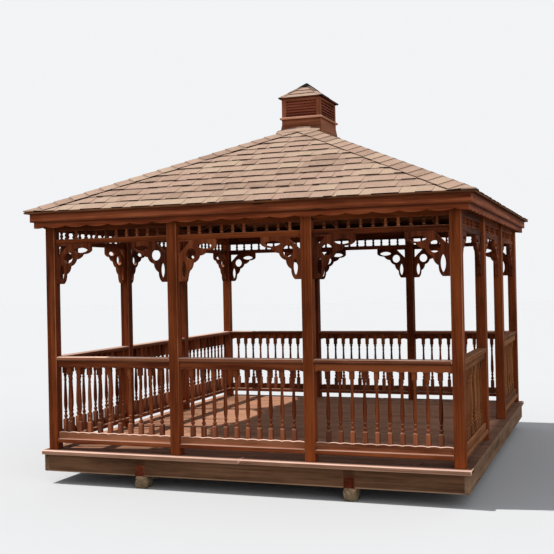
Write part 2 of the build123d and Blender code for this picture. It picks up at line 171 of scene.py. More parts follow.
# A material under construction: short names for the nodes that every finish uses
class Finish:
    def __init__(self, name, roughness, level=0.3):
        self.material = bpy.data.materials.new(name)
        self.material.use_nodes = True
        self.tree = self.material.node_tree
        self.shader = self.tree.nodes["Principled BSDF"]
        self.shader.inputs["Roughness"].default_value = roughness
        self.shader.inputs["Specular IOR Level"].default_value = level

    def node(self, kind, **settings):
        made = self.tree.nodes.new("ShaderNode" + kind)
        for key, value in settings.items():
            setattr(made, key, value)
        return made

    def feed(self, socket, value):
        if isinstance(value, bpy.types.NodeSocket):
            self.tree.links.new(value, socket)
        else:
            socket.default_value = value

    def place(self):
        return self.node("TexCoord").outputs["Object"]

    def carried(self, name):
        output = "Vector" if name == "surface" else "Fac"
        return self.node("Attribute", attribute_name=name).outputs[output]

    def math(self, operation, first, second=0.0):
        made = self.node("Math", operation=operation)
        self.feed(made.inputs[0], first)
        self.feed(made.inputs[1], second)
        return made.outputs[0]

    # Two values added, each with its weight
    def weigh(self, first, share, second, rest):
        return self.math("ADD", self.math("MULTIPLY", first, share), self.math("MULTIPLY", second, rest))

    # How far a value from 0 to 1 swings to either side of its middle
    def swing(self, value, reach):
        return self.math("MULTIPLY", self.math("SUBTRACT", value, 0.5), reach)

    def noise(self, vector, scale, detail=3.0, rough=0.55, warp=0.0):
        made = self.node("TexNoise")
        self.feed(made.inputs["Vector"], vector)
        for name, value in (("Scale", scale), ("Detail", detail), ("Roughness", rough), ("Distortion", warp)):
            made.inputs[name].default_value = value
        return made.outputs["Fac"]

    def stretch(self, vector, scale):
        made = self.node("VectorMath", operation="MULTIPLY")
        self.feed(made.inputs[0], vector)
        made.inputs[1].default_value = scale
        return made.outputs[0]

    # Noise that is drawn out along a board
    def grain(self, vector, scale, detail=3.0, rough=0.55, warp=0.0):
        return self.noise(self.stretch(vector, scale), 1.0, detail, rough, warp)

    def spots(self, vector, scale):
        made = self.node("TexVoronoi")
        self.feed(made.inputs["Vector"], vector)
        made.inputs["Scale"].default_value = scale
        return made.outputs["Distance"]

    def ramp(self, value, *stops):
        made = self.node("ValToRGB")
        self.feed(made.inputs[0], value)
        bar = made.color_ramp.elements
        while len(bar) < len(stops):
            bar.new(0.5)
        for element, (place, color) in zip(bar, stops):
            element.position = place
            element.color = (*color, 1) if isinstance(color, tuple) else (color, color, color, 1)
        return made.outputs[0]

    def span(self, value, low, high, start=0.0, end=1.0):
        made = self.node("MapRange")
        self.feed(made.inputs["Value"], value)
        for name, number in zip(("From Min", "From Max", "To Min", "To Max"), (low, high, start, end)):
            made.inputs[name].default_value = number
        return made.outputs[0]

    def mix(self, factor, first, second):
        made = self.node("Mix", data_type="RGBA")
        self.feed(made.inputs[0], factor)
        for socket, value in ((made.inputs[6], first), (made.inputs[7], second)):
            self.feed(socket, (*value, 1) if isinstance(value, tuple) else value)
        return made.outputs[2]

    def part(self, vector, index):
        split = self.node("SeparateXYZ")
        self.feed(split.inputs[0], vector)
        return split.outputs[index]

    def upward(self):
        return self.part(self.node("NewGeometry").outputs["Normal"], 2)

    # Distance along an axis of the frame, or sideways from the middle of the nearest skid
    def along(self, axis):
        if axis != "skid":
            return self.part(self.place(), "xyz".index(axis))
        aside = self.math("ABSOLUTE", self.part(self.place(), 0))
        return self.math("ABSOLUTE", self.math("SUBTRACT", aside, skidMiddle))

    def bump(self, height, distance, strength=0.7):
        made = self.node("Bump")
        made.inputs["Strength"].default_value = strength
        made.inputs["Distance"].default_value = distance
        self.feed(made.inputs["Height"], height)
        self.feed(self.shader.inputs["Normal"], made.outputs[0])

    def done(self, color, roughness=None):
        self.feed(self.shader.inputs["Base Color"], color)
        if roughness is not None:
            self.feed(self.shader.inputs["Roughness"], roughness)
        return self.material


# Stained timber: dark, middle, light and bleached, how much boards differ, how far the sun has bleached
# level faces, and the roughness of its smooth and rough grain
def stain(dark, mid, light, bleached, toneSpread, bleach, glossy, matt):
    look = {"dark": paint(*dark), "mid": paint(*mid), "light": paint(*light), "bleached": paint(*bleached)}
    return {**look, "toneSpread": toneSpread, "bleach": bleach, "gloss": (glossy, matt)}


woodLook = {
    "posts": stain((62, 24, 9), (114, 52, 23), (154, 78, 38), (196, 132, 98), 0.26, 0.75, 0.5, 0.7),
    "rails": stain((66, 26, 12), (116, 55, 29), (160, 88, 52), (226, 168, 138), 0.34, 0.9, 0.5, 0.72),
    "caps": stain((104, 52, 32), (150, 90, 64), (184, 126, 98), (252, 212, 192), 0.44, 1.0, 0.52, 0.74),
    "toes": stain((104, 54, 32), (150, 94, 66), (178, 122, 92), (252, 212, 192), 0.36, 1.0, 0.52, 0.74),
    "sheltered": stain((80, 42, 20), (136, 82, 48), (168, 110, 70), (172, 122, 84), 0.24, 0.8, 0.55, 0.75),
    "deck": stain((80, 46, 31), (134, 84, 61), (178, 124, 95), (222, 170, 140), 0.42, 0.62, 0.6, 0.82),
    "nosing": stain((98, 62, 48), (156, 114, 94), (194, 148, 126), (232, 186, 166), 0.2, 0.9, 0.6, 0.82),
    # arris: the pale look of the eased edges of toe trims and nosings, partly wear and partly painted
    # highlight
    "arris": stain((150, 112, 94), (205, 162, 142), (240, 200, 182), (250, 212, 196), 0.2, 1.0, 0.6, 0.82),
    "rims": stain((62, 42, 31), (106, 74, 54), (138, 100, 76), (214, 178, 152), 0.22, 0.5, 0.62, 0.82),
    "sideRims": stain((92, 70, 54), (142, 110, 88), (170, 138, 114), (200, 166, 140), 0.22, 0.5, 0.62, 0.82),
    "skids": stain((54, 20, 9), (96, 40, 22), (128, 64, 40), (150, 84, 56), 0.2, 0.3, 0.55, 0.8),
    "fascia": stain((106, 48, 26), (174, 92, 58), (208, 126, 86), (214, 150, 116), 0.16, 0.6, 0.5, 0.7),
    "eaves": stain((76, 32, 16), (136, 64, 36), (174, 94, 58), (204, 136, 102), 0.2, 0.6, 0.5, 0.7),
    "cupola": stain((84, 44, 28), (138, 80, 54), (172, 112, 84), (204, 146, 116), 0.2, 0.6, 0.5, 0.7),
    # sill: made paler all over, a painted highlight standing in for the light on its top edge
    "sill": stain((150, 92, 66), (196, 138, 110), (224, 170, 144), (250, 204, 182), 0.1, 0.9, 0.5, 0.7),
    "louvers": stain((86, 38, 26), (138, 70, 52), (170, 98, 76), (176, 108, 84), 0.22, 0.4, 0.5, 0.7),
    "hidden": stain((58, 32, 20), (104, 62, 40), (146, 96, 64), (150, 104, 76), 0.4, 0.2, 0.6, 0.85),
}
woodLook["aprons"] = woodLook["rails"]
woodLook["turnings"] = woodLook["rails"]
woodLook["foot"] = woodLook["cupola"]
# Painted shade: one dark colour for the shade under caps, fascias, nosings and the cupola's sill
paintedShade = paint(38, 14, 6)
# A darker colour for the deck's right edge
rightEdgeDark = paint(58, 44, 34)
grainSetup = {
    "fibre": (4.0, 150.0, 150.0), "rings": (0.7, 22.0, 22.0), "blotch": (1.6, 5.0, 5.0),
    "knots": (1.3, 9.0, 9.0), "checks": (1.2, 240.0, 240.0), "boards": (0.05, 3.1, 3.1), "patches": 0.55,
    "knotColor": paint(44, 20, 11), "checkColor": paint(40, 20, 13), "relief": 0.0012,
    "shift": (40, 7, 7),  # how far apart in the grain two boards may lie
}
axisOrder = {"x": (0, 1, 2), "y": (1, 0, 2), "z": (2, 0, 1)}  # the grain runs along the first


# Grain space: a board carries its own in the mesh, a frame node takes it from where it stands
def grainSpace(finish, axis):
    if axis == "own":
        return finish.carried("surface"), finish.carried("tone")
    split = finish.node("SeparateXYZ")
    finish.feed(split.inputs[0], finish.place())
    join = finish.node("CombineXYZ")
    for slot, source in enumerate(axisOrder[axis]):
        finish.feed(join.inputs[slot], split.outputs[source])
    boards = finish.grain(join.outputs[0], grainSetup["boards"], 0.0)
    return join.outputs[0], finish.span(boards, 0.3, 0.7)


# marks are stains, painted shade and painted highlights along the frame: axis, first place and its share,
# second place and its share, tint
def woodFinish(name, look, axis, wearAndHighlight, marks):
    setup = grainSetup
    finish = Finish(name, 0.6, 0.08)
    space, tone = grainSpace(finish, axis)
    fibre = finish.grain(space, setup["fibre"], 4.0, 0.6)
    rings = finish.grain(space, setup["rings"], 3.0, 0.5, 0.8)
    blotch = finish.grain(space, setup["blotch"], 3.0, 0.6)
    figure = finish.weigh(fibre, 0.42, rings, 0.58)
    value = finish.math("ADD", figure, finish.swing(tone, look["toneSpread"]))
    value = finish.math("ADD", value, finish.swing(blotch, setup["patches"]))
    color = finish.ramp(value, (0.30, look["dark"]), (0.50, look["mid"]), (0.72, look["light"]))
    knots = finish.spots(finish.stretch(space, setup["knots"]), 1.0)
    color = finish.mix(finish.ramp(knots, (0.035, 0.85), (0.10, 0.0)), color, setup["knotColor"])
    checks = finish.grain(space, setup["checks"], 2.0, 0.4)
    color = finish.mix(finish.ramp(checks, (0.24, 0.7), (0.32, 0.0)), color, setup["checkColor"])
    sun = finish.math("MULTIPLY", finish.span(finish.upward(), 0.35, 0.85), look["bleach"])
    sun = finish.math("MULTIPLY", sun, finish.span(finish.math("ADD", fibre, blotch), 0.7, 1.3, 0.55, 1.0))
    sun = finish.math("MULTIPLY", sun, finish.span(tone, 0.0, 0.6, 0.5, 1.0))
    color = finish.mix(sun, color, look["bleached"])
    # Edge wear and painted highlight: eased edges turn pale where they face up or sideways, and stay dark
    # where they face down
    if wearAndHighlight:
        rubbedAndHighlit = finish.span(blotch, 0.38, 0.62, 0.25 * wearAndHighlight, wearAndHighlight)
        rubbedAndHighlit = finish.math("MULTIPLY", rubbedAndHighlit, finish.span(finish.upward(), -0.45, -0.1))
        color = finish.mix(rubbedAndHighlit, color, look["bleached"])
    # Each mark mixes its tint in; a few are real stains, the others painted shade and painted highlights
    for source, start, startShare, end, endShare, tint in marks:
        share = finish.span(finish.along(source), start, end, startShare, endShare)
        share = finish.math("MULTIPLY", share, finish.span(blotch, 0.3, 0.7, 0.7, 1.15))
        color = finish.mix(share, color, tint)
    relief = finish.weigh(fibre, 0.6, rings, 0.4)
    relief = finish.math("SUBTRACT", relief, finish.ramp(checks, (0.24, 0.8), (0.32, 0.0)))
    finish.bump(relief, setup["relief"])
    return finish.done(color, finish.span(figure, 0.3, 0.7, look["gloss"][1], look["gloss"][0]))


shingleLook = {
    "pink": paint(179, 148, 132), "tan": paint(189, 164, 143), "brown": paint(149, 120, 104),
    "cut": paint(48, 34, 28), "cutAndShadeDeep": paint(46, 31, 26), "band": paint(62, 43, 36),
    "speckLight": paint(232, 210, 192), "speckDark": paint(94, 70, 60), "streak": (5.0, 1.2, 1.0),
}


# Mineral granules: each tab has its blend, and a printed dark band under the next butt
def shingleFinish():
    look = shingleLook
    finish = Finish("shingleGranules", 0.93, 0.15)
    space = finish.carried("surface")
    blend = ((0.0, look["brown"]), (0.3, look["pink"]), (0.7, look["pink"]), (0.95, look["tan"]))
    color = finish.ramp(finish.carried("tone"), *blend)
    drift = finish.noise(space, 9.0)
    color = finish.mix(finish.span(drift, 0.35, 0.65, 0.0, 0.45), color, look["tan"])
    grains = finish.noise(space, 420.0, 2.0, 0.7)
    color = finish.mix(finish.ramp(grains, (0.56, 0.0), (0.64, 0.55)), color, look["speckLight"])
    color = finish.mix(finish.ramp(grains, (0.36, 0.6), (0.44, 0.0)), color, look["speckDark"])
    streaks = finish.grain(space, look["streak"])
    color = finish.mix(finish.span(streaks, 0.52, 0.75, 0.0, 0.25), color, look["brown"])
    color = finish.mix(finish.carried("shade"), color, look["band"])
    finish.bump(grains, 0.0016, 0.6)
    return finish.done(color)


# Cut edges of the shingles: dark asphalt, painted darker still as the shade along the butts and cap edges
def shingleEdgeFinish():
    finish = Finish("shingleCutEdgeAndShade", 0.95, 0.1)
    grains = finish.noise(finish.carried("surface"), 160.0)
    finish.bump(grains, 0.001)
    return finish.done(finish.ramp(grains, (0.35, shingleLook["cut"]), (0.7, shingleLook["cutAndShadeDeep"])))


stoneLook = {
    "dark": paint(98, 80, 60), "mid": paint(142, 122, 98), "light": paint(180, 160, 134),
    "pits": paint(70, 56, 44), "top": paint(232, 178, 150), "damp": paint(88, 84, 62),
}


def stoneFinish():
    look = stoneLook
    finish = Finish("roughBlock", 0.95, 0.2)
    place = finish.place()
    coarse = finish.noise(place, 14.0, 5.0, 0.65)
    grit = finish.noise(place, 190.0, 4.0, 0.7)
    pits = finish.spots(place, 60.0)
    value = finish.weigh(coarse, 0.6, grit, 0.4)
    color = finish.ramp(value, (0.36, look["dark"]), (0.5, look["mid"]), (0.66, look["light"]))
    color = finish.mix(finish.ramp(pits, (0.10, 0.6), (0.22, 0.0)), color, look["pits"])
    # Painted highlight: faces that look up are mixed towards the pale pink top colour
    color = finish.mix(finish.span(finish.upward(), 0.2, 0.7, 0.0, 0.8), color, look["top"])
    color = finish.mix(finish.span(finish.along("z"), 0.0, 0.05, 0.5, 0.0), color, look["damp"])
    finish.bump(finish.math("ADD", grit, finish.math("MULTIPLY", pits, 0.8)), 0.003, 0.8)
    return finish.done(color)


def metalFinish():
    finish = Finish("darkMetalCap", 0.6, 0.05)
    scuff = finish.noise(finish.place(), 60.0, 4.0, 0.65)
    color = finish.ramp(scuff, (0.40, paint(9, 7, 6)), (0.62, paint(20, 16, 15)), (0.75, paint(52, 44, 40)))
    finish.bump(scuff, 0.0006, 0.4)
    return finish.done(color, finish.span(scuff, 0.3, 0.7, 0.5, 0.75))


def floorFinish():
    finish = Finish("paleFloor", 0.95, 0.1)
    drift = finish.span(finish.noise(finish.place(), 0.5, 2.0), 0.3, 0.7, 0.0, 0.04)
    color = finish.mix(drift, lightSetup["floorColor"], lightSetup["floorDrift"])
    seen = finish.node("LightPath").outputs["Is Camera Ray"]
    return finish.done(finish.mix(seen, lightSetup["bounceColor"], color))


capFoot = railHigh.z - capThick
# Marks for each look; most are painted shade and painted highlights, as noted at each
stainsAndPaintedLight = {
    # painted shade: a dark line under the cap, and darker along the apron's lower edge
    "aprons": [
        ("z", capFoot, 0.4, capFoot - 0.006, 0.0, paintedShade),
        ("z", capFoot - 0.066, 0.3, capFoot - 0.054, 0.0, paintedShade),
    ],
    # painted shade on the lower part of the cap's face
    "caps": [("z", capFoot + 0.007, 0.55, capFoot + 0.018, 0.0, paintedShade)],
    # painted highlight: the balusters' feet and lowest beads are lightened
    "turnings": [("z", deckTop + 0.235, 0.14, deckTop + 0.30, 0.0, paint(172, 132, 110))],
    # painted shade: the nosings are darkened behind their front edge, leaving the front arris light
    "nosing": [("y", deckLow.y + 0.020, 0.0, deckLow.y + 0.042, 0.8, paint(76, 46, 33))],
    # painted shade: darker towards the top, under the shingles, with a dark line along the bottom edge
    "fascia": [
        ("z", fasciaHigh.z - 0.006, 0.75, fasciaLow.z + 0.025, 0.0, paintedShade),
        ("z", fasciaLow.z + 0.010, 0.55, fasciaLow.z + 0.017, 0.0, paintedShade),
    ],
    # painted shade on the skirt just under the fascia
    "eaves": [("z", fasciaLow.z - 0.004, 0.55, fasciaLow.z - 0.026, 0.0, paintedShade)],
    # darker towards the deck's right edge, and lighter on the board ends there
    "deck": [
        ("x", deckHigh.x - 0.14, 0.0, deckHigh.x - 0.08, 0.6, rightEdgeDark),
        ("x", deckHigh.x - 0.012, 0.0, deckHigh.x - 0.003, 0.75, paint(158, 128, 104)),
    ],
    # painted shade under the nosing and a painted highlight along the lower edge
    "rims": [
        ("z", rimHigh.z - 0.002, 0.45, rimHigh.z - 0.045, 0.0, paintedShade),
        ("z", rimLow.z + 0.003, 0.6, rimLow.z + 0.014, 0.0, woodLook["rims"]["bleached"]),
        ("skid", 0.028, 0.55, 0.062, 0.0, paint(60, 22, 11)),
    ],
    # painted shade on the cupola's base just under the sill
    "foot": [("z", cupolaLow.z - 0.018, 0.65, cupolaLow.z - 0.034, 0.0, paintedShade)],
}
timbers = {}


# A look's timber, made when it is first asked for; its grain is each board's own or along an axis
def timber(look, axis="own", wearAndHighlight=0.0):
    if (look, axis, wearAndHighlight) not in timbers:
        ending = ("Edge" if wearAndHighlight else "Stain") if axis == "own" else "Along" + axis.upper()
        name = look + ("WornHighlit" if wearAndHighlight else "") + ending
        timbers[look, axis, wearAndHighlight] = woodFinish(name, woodLook[look], axis, wearAndHighlight, stainsAndPaintedLight.get(look, ()))
    return timbers[look, axis, wearAndHighlight]


# Two finishes for worked boards: their faces, and the bevel that eases their edges, worn paler and painted as
# a highlight where it does not face down
def worked(look, edge=None, axis="own", wearAndHighlight=0.8):
    return [timber(look, axis), timber(edge or look, axis, wearAndHighlight)]


shingles = [shingleFinish(), shingleEdgeFinish()]
stone = stoneFinish()
metal = metalFinish()
edgeSetup = {"bevelOver": 40, "smoothUnder": 35}  # degrees
print("stains and finishes ready")


def easeEdges(piece, width, slot):
    bevel = piece.modifiers.new("easedEdges", "BEVEL")
    bevel.width = width
    bevel.segments = 1
    bevel.limit_method = "ANGLE"
    bevel.angle_limit = math.radians(edgeSetup["bevelOver"])
    bevel.material = slot


# Faces between rings of spots, each ring beyond the one before
def ringFaces(rings, sides):
    faces = []
    for ring in range(rings - 1):
        for step in range(sides):
            a, b = ring * sides + step, ring * sides + (step + 1) % sides
            faces.append((a, b, b + sides, a + sides))
    return faces


# Gathers boards, turnings or shingles into one mesh. Each has its own grain space and tone.
class Stack:
    def __init__(self, name, seed):
        self.name = name
        self.chance = random.Random(seed)
        self.points, self.faces, self.surface = [], [], []
        self.tones, self.shades, self.slots = [], [], []

    def add(self, points, faces, place, along="x", tone=None, slots=None, shades=None):
        first = len(self.points)
        shift = [self.chance.uniform(0, reach) for reach in grainSetup["shift"]]
        if tone is None:
            tone = self.chance.random()
        for point in points:
            self.points.append(place @ Vector(point))
            self.surface.extend(point[source] + shift[axis] for axis, source in enumerate(axisOrder[along]))
            self.tones.append(tone)
        self.shades.extend(shades or [0.0] * len(points))
        self.faces.extend(tuple(first + corner for corner in face) for face in faces)
        self.slots.extend(slots or [0] * len(faces))

    def board(self, size, place, tone=None):
        x, y, z = (length / 2 for length in size)
        points = [(a * x, b * y, c * z) for a in (-1, 1) for b in (-1, 1) for c in (-1, 1)]
        faces = [(0, 1, 3, 2), (4, 6, 7, 5), (0, 4, 5, 1), (2, 3, 7, 6), (0, 2, 6, 4), (1, 5, 7, 3)]
        self.add(points, faces, place, "xyz"[max(range(3), key=lambda axis: size[axis])], tone)

    # A board with shaped long edges: lowEdge and topEdge give z at each x
    def shaped(self, length, lowEdge, topEdge, thick, steps, place, tone=None):
        points = []
        for step in range(steps + 1):
            x = length * (step / steps - 0.5)
            low, top = lowEdge(x), topEdge(x)
            points += [(x, 0, low), (x, 0, top), (x, thick, top), (x, thick, low)]
        ends = [(0, 3, 2, 1), tuple(4 * steps + side for side in range(4))]
        self.add(points, ends + ringFaces(steps + 1, 4), place, "x", tone)

    # Rings of (height, radius, square) in millimetres; square sections reach out to flat sides
    def turned(self, profile, place, sides, tone=None):
        points = []
        for up, radius, square in profile:
            for step in range(sides):
                angle = 2 * math.pi * step / sides
                reach = radius / max(abs(math.cos(angle)), abs(math.sin(angle))) if square else radius
                points.append((reach * math.cos(angle) / 1000, reach * math.sin(angle) / 1000, up / 1000))
        ends = [tuple(reversed(range(sides))), tuple(range(len(points) - sides, len(points)))]
        self.add(points, ends + ringFaces(len(profile), sides), place, "z", tone)

    def finish(self, materials, node, eased=0.0, slot="stained_wood"):
        mesh = bpy.data.meshes.new(self.name)
        mesh.from_pydata(self.points, [], self.faces)
        mesh.attributes.new("surface", "FLOAT_VECTOR", "POINT").data.foreach_set("vector", self.surface)
        mesh.attributes.new("tone", "FLOAT", "POINT").data.foreach_set("value", self.tones)
        mesh.attributes.new("shade", "FLOAT", "POINT").data.foreach_set("value", self.shades)
        for material in materials:
            mesh.materials.append(material)
        mesh.polygons.foreach_set("material_index", self.slots)
        mesh.shade_smooth()
        mesh.set_sharp_from_angle(angle=math.radians(edgeSetup["smoothUnder"]))
        piece = put(self.name, mesh)
        if eased:
            easeEdges(piece, eased, len(materials) - 1)
        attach(piece, "root")
        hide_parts(node)


# Deck boards run across the front; the first and last hang over the rim as nosings
deckSetup = {
    "board": 0.139, "gap": 0.0045, "thick": 0.038, "jointGap": 0.003, "eased": 0.003, "nose": 0.007,
    "joistGaps": 9, "joints": (-3.5, -2.5, -1.5, 0.5, 1.5, 2.5, 3.5), "sag": 0.0006,
    "noseTones": (1.0, 0.45), "frontRows": (1, 2), "frontShadeTone": 0.2, "tones": (0.4, 0.95),
}


def buildDeck():
    setup = deckSetup
    stack = Stack("deckBoards", 11)
    nosings = Stack("deckNosings", 12)
    width, depth = deckHigh.x - deckLow.x, deckHigh.y - deckLow.y
    count = round(depth / (setup["board"] + setup["gap"]))
    pitch = (depth + setup["gap"]) / count
    joistStep = width / setup["joistGaps"]
    for row in range(count):
        y = deckLow.y + row * pitch + (pitch - setup["gap"]) / 2
        joint = 0.0 if row == 0 else joistStep * stack.chance.choice(setup["joints"])
        ends = (deckLow.x, joint, deckHigh.x)
        for side in (0, 1):
            length = ends[side + 1] - ends[side] - setup["jointGap"]
            size = (length, pitch - setup["gap"], setup["thick"])
            up = deckTop - setup["thick"] / 2 + stack.chance.uniform(-setup["sag"], 0)
            place = move((ends[side] + ends[side + 1]) / 2, y, up)
            if row in (0, count - 1):
                nosings.board(size, place, setup["noseTones"][side])
            # Rows 1 and 2 lie under the front rail: their low tone is painted shade
            elif row in setup["frontRows"]:
                stack.board(size, place, setup["frontShadeTone"])
            else:
                stack.board(size, place, stack.chance.uniform(*setup["tones"]))
    stack.finish([timber("deck")], "deck", setup["eased"], "deck_wood")
    nosings.finish(worked("nosing", "arris"), "deck", setup["nose"], "deck_wood")


# Square posts between the bays, each given a random number of quarter turns
postSetup = {"eased": 0.005}


def buildPosts():
    for name in ("posts_front", "posts_back", "posts_sides"):
        low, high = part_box(name)
        stack = Stack(name.replace("posts_", "posts."), len(name))
        xs = [(step - bays / 2) * bayPitch("front") for step in range(bays + 1)]
        ys = [(low.y + high.y) / 2]
        if name == "posts_sides":
            xs = [xs[0], xs[-1]]
            ys = [(step + 1 - bays / 2) * bayPitch("right") for step in range(bays - 1)]
        size = (postSize, postSize, high.z - low.z)
        for x in xs:
            for y in ys:
                stack.board(size, move(x, y, (low.z + high.z) / 2) @ spin(90 * stack.chance.randrange(4)))
        stack.finish(worked("posts"), name, postSetup["eased"])


# Railing, up from the deck and in from the posts' outside face; the tones are for bays 1 to 3
railSetup = {
    "capWidth": 0.089, "apronDepth": 0.064, "apronWave": 0.005, "trimIn": 0.019,
    "trimThick": 0.018, "toeDepth": 0.062, "toeWave": 0.006, "bottomLift": 0.062, "bottomThick": 0.038,
    "pitchWanted": 0.100, "waveSteps": 12, "balusterIn": 0.055, "balusterFoot": 0.100,
    "capTones": (0.65, 0.45, 0.15), "toeTones": (0.85, 0.3, 0.1), "apronTones": (0.45, 0.85, 1.5),
    "bottomTone": 0.75, "balusterTones": (0.25, 0.95), "balusterSides": 16,
    "eases": (0.006, 0.005, 0.003, 0.005),  # cap, toe trim, apron, bottom rail
}
# Heights, radii and square or round, in millimetres
balusterProfile = [
    (0, 18, 1), (143, 18, 1), (149, 14.5, 0), (153, 11, 0), (158, 11.5, 0), (163, 15, 0), (169, 17.4, 0),
    (175, 17.2, 0), (181, 14.5, 0), (186, 11, 0), (194, 9.8, 0), (203, 10.6, 0), (207, 14, 0),
    (212, 15.4, 0), (217, 14, 0), (221, 10.6, 0), (230, 11.2, 0), (246, 14.4, 0), (268, 16.6, 0),
    (300, 17, 0), (345, 15.8, 0), (395, 13.6, 0), (445, 11.4, 0), (480, 10.2, 0), (489, 10.4, 0),
    (493, 13, 0), (497, 14.4, 0), (501, 13, 0), (505, 10.4, 0), (516, 10, 0), (530, 11.6, 0),
    (540, 15, 0), (546, 16, 0), (552, 14, 0), (556, 12, 0), (561, 18, 1), (682, 18, 1),
]


def buildRail(wall, bay, seed):
    setup = railSetup
    clear = bayClear(wall)
    count = round(clear / setup["pitchWanted"]) - 1
    pitch = clear / (count + 1)
    waveSteps = setup["waveSteps"] * (count + 1)
    place = wallSpace(wall) @ move(bayMiddle(wall, bay))
    trimPlace = place @ move(0, setup["trimIn"])
    top = railHigh.z - deckTop
    apronTop = top - capThick
    bottomTop = setup["bottomLift"] + setup["bottomThick"]
    capTone, toeTone, apronTone = (setup[part][bay - 1] for part in ("capTones", "toeTones", "apronTones"))

    def apronLow(x):
        wave = math.cos(2 * math.pi * (x + clear / 2) / pitch)
        return apronTop - setup["apronDepth"] + setup["apronWave"] * (1 - wave)

    def toeTop(x):
        wave = abs(math.sin(math.pi * (x + clear / 2) / pitch))
        return bottomTop + setup["toeDepth"] - setup["toeWave"] * (1 - wave)

    cap = Stack(f"railCaps.{wall}.{bay}", seed + 900)
    size = (clear, setup["capWidth"], capThick)
    cap.board(size, place @ move(0, size[1] / 2, top - size[2] / 2), capTone)
    toe = Stack(f"railToes.{wall}.{bay}", seed + 700)
    toe.shaped(clear, lambda x: bottomTop, toeTop, setup["trimThick"], waveSteps, trimPlace, toeTone)
    apron = Stack(f"railBoards.{wall}.{bay}", seed)
    apron.shaped(clear, apronLow, lambda x: apronTop, setup["trimThick"], waveSteps, trimPlace, apronTone)
    bottom = Stack(f"railBottoms.{wall}.{bay}", seed + 300)
    size = (clear, postSize, setup["bottomThick"])
    bottom.board(size, place @ move(0, size[1] / 2, bottomTop - size[2] / 2), setup["bottomTone"])
    balusters = Stack(f"balusters.{wall}.{bay}", seed + 500)
    for step in range(count):
        spot = place @ move((step + 1) * pitch - clear / 2, setup["balusterIn"], setup["balusterFoot"])
        spot = spot @ spin(90 * balusters.chance.randrange(4))
        tone = balusters.chance.uniform(*setup["balusterTones"])
        balusters.turned(balusterProfile, spot, setup["balusterSides"], tone)

    node = f"rail_{wall}_{bay}"
    looks, wearAndHighlight = ("caps", "toes", "aprons", "rails", "turnings"), ("caps", "arris", "aprons", "caps")
    if wall == "right":
        looks, wearAndHighlight = ["sheltered"] * 5, ["sheltered"] * 4
    for stack, look, edge, eased in zip((cap, toe, apron, bottom), looks, wearAndHighlight, setup["eases"]):
        stack.finish(worked(look, edge), node, eased)
    balusters.finish([timber(looks[4])], node)


def buildRails():
    seed = 100
    for wall in walls:
        for bay in range(1, bays + 1):
            if (wall, bay) != entrance:
                buildRail(wall, bay, seed)
            seed += 1


# Spindle frieze between the posts, just under the plates
friezeSetup = {
    "thick": 0.040, "header": 0.101, "rail": 0.044, "pitchWanted": 0.100, "sides": 12, "eased": 0.004,
}
spindleProfile = [
    (0, 14, 0), (4, 16, 0), (10, 16, 0), (15, 12, 0), (20, 9, 0), (26, 12, 0), (33, 16, 0), (40, 15.5, 0),
    (47, 12, 0), (53, 9, 0), (58, 11, 0), (62, 14, 0), (71, 14, 0),
]


def buildFrieze(wall, seed):
    setup = friezeSetup
    node = f"frieze_{wall}"
    low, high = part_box(node)
    clear = bayClear(wall)
    count = round(clear / setup["pitchWanted"]) - 1
    boards = Stack(f"friezeBoards.{wall}", seed)
    spindles = Stack(f"friezeSpindles.{wall}", seed + 1)
    header, rail = setup["header"], setup["rail"]
    for bay in range(1, bays + 1):
        place = wallSpace(wall) @ move(bayMiddle(wall, bay), postSize / 2, -deckTop)
        boards.board((clear, setup["thick"], header), place @ move(0, 0, high.z - header / 2))
        boards.board((clear, setup["thick"], rail), place @ move(0, 0, low.z + rail / 2))
        for step in range(count):
            x = (step + 1) * clear / (count + 1) - clear / 2
            spindles.turned(spindleProfile, place @ move(x, 0, low.z + rail), setup["sides"])
    boards.finish(worked("posts"), node, setup["eased"])
    spindles.finish([timber("rails")], node)


# Fretwork brackets, in millimetres right and down from the corner they fill
bracketSetup = {
    "reach": 350, "drop": 350, "tip": 60, "sag": 59, "thick": 38, "lobes": 5, "lobeRise": 14, "lobeSteps": 10,
    "cornerInset": 14, "cornerLeg": 98, "roundIn": 120, "roundRadius": 47, "holeSteps": 28,
    "eyeIn": 57, "eyeMiddle": 250, "eyeHalf": 69, "eyeWide": 22, "rounding": 4,
    "lobePower": 0.8, "eyePower": 0.35,
}


def bracketLoops():
    setup = bracketSetup
    start, end = Vector((setup["reach"], -setup["tip"])), Vector((setup["tip"], -setup["drop"]))
    outward = Vector((1, -1)).normalized()
    outer = [Vector((0, 0)), Vector((setup["reach"], 0))]
    steps = setup["lobes"] * setup["lobeSteps"]
    for step in range(steps + 1):
        share = step / steps
        swell = setup["lobeRise"] * abs(math.sin(setup["lobes"] * math.pi * share)) ** setup["lobePower"]
        hollow = setup["sag"] * 4 * share * (1 - share)
        outer.append(start.lerp(end, share) + outward * (swell - hollow))
    outer.append(Vector((0, -setup["drop"])))
    inset, leg = setup["cornerInset"], setup["cornerLeg"]
    corner = [Vector((inset, -inset)), Vector((inset, -inset - leg)), Vector((inset + leg, -inset))]
    turn = [2 * math.pi * step / setup["holeSteps"] for step in range(setup["holeSteps"])]
    middle = Vector((setup["roundIn"], -setup["roundIn"]))
    ring = [middle + setup["roundRadius"] * Vector((math.cos(a), math.sin(a))) for a in turn]
    loops = [outer, corner, ring]
    for flat in (True, False):
        eye = []
        for angle in turn:
            along = setup["eyeMiddle"] + setup["eyeHalf"] * math.cos(angle)
            swell = math.sin(angle) * abs(math.sin(angle)) ** setup["eyePower"]
            across = setup["eyeIn"] + setup["eyeWide"] * swell
            eye.append(Vector((along, -across)) if flat else Vector((across, -along)))
        loops.append(eye)
    return loops


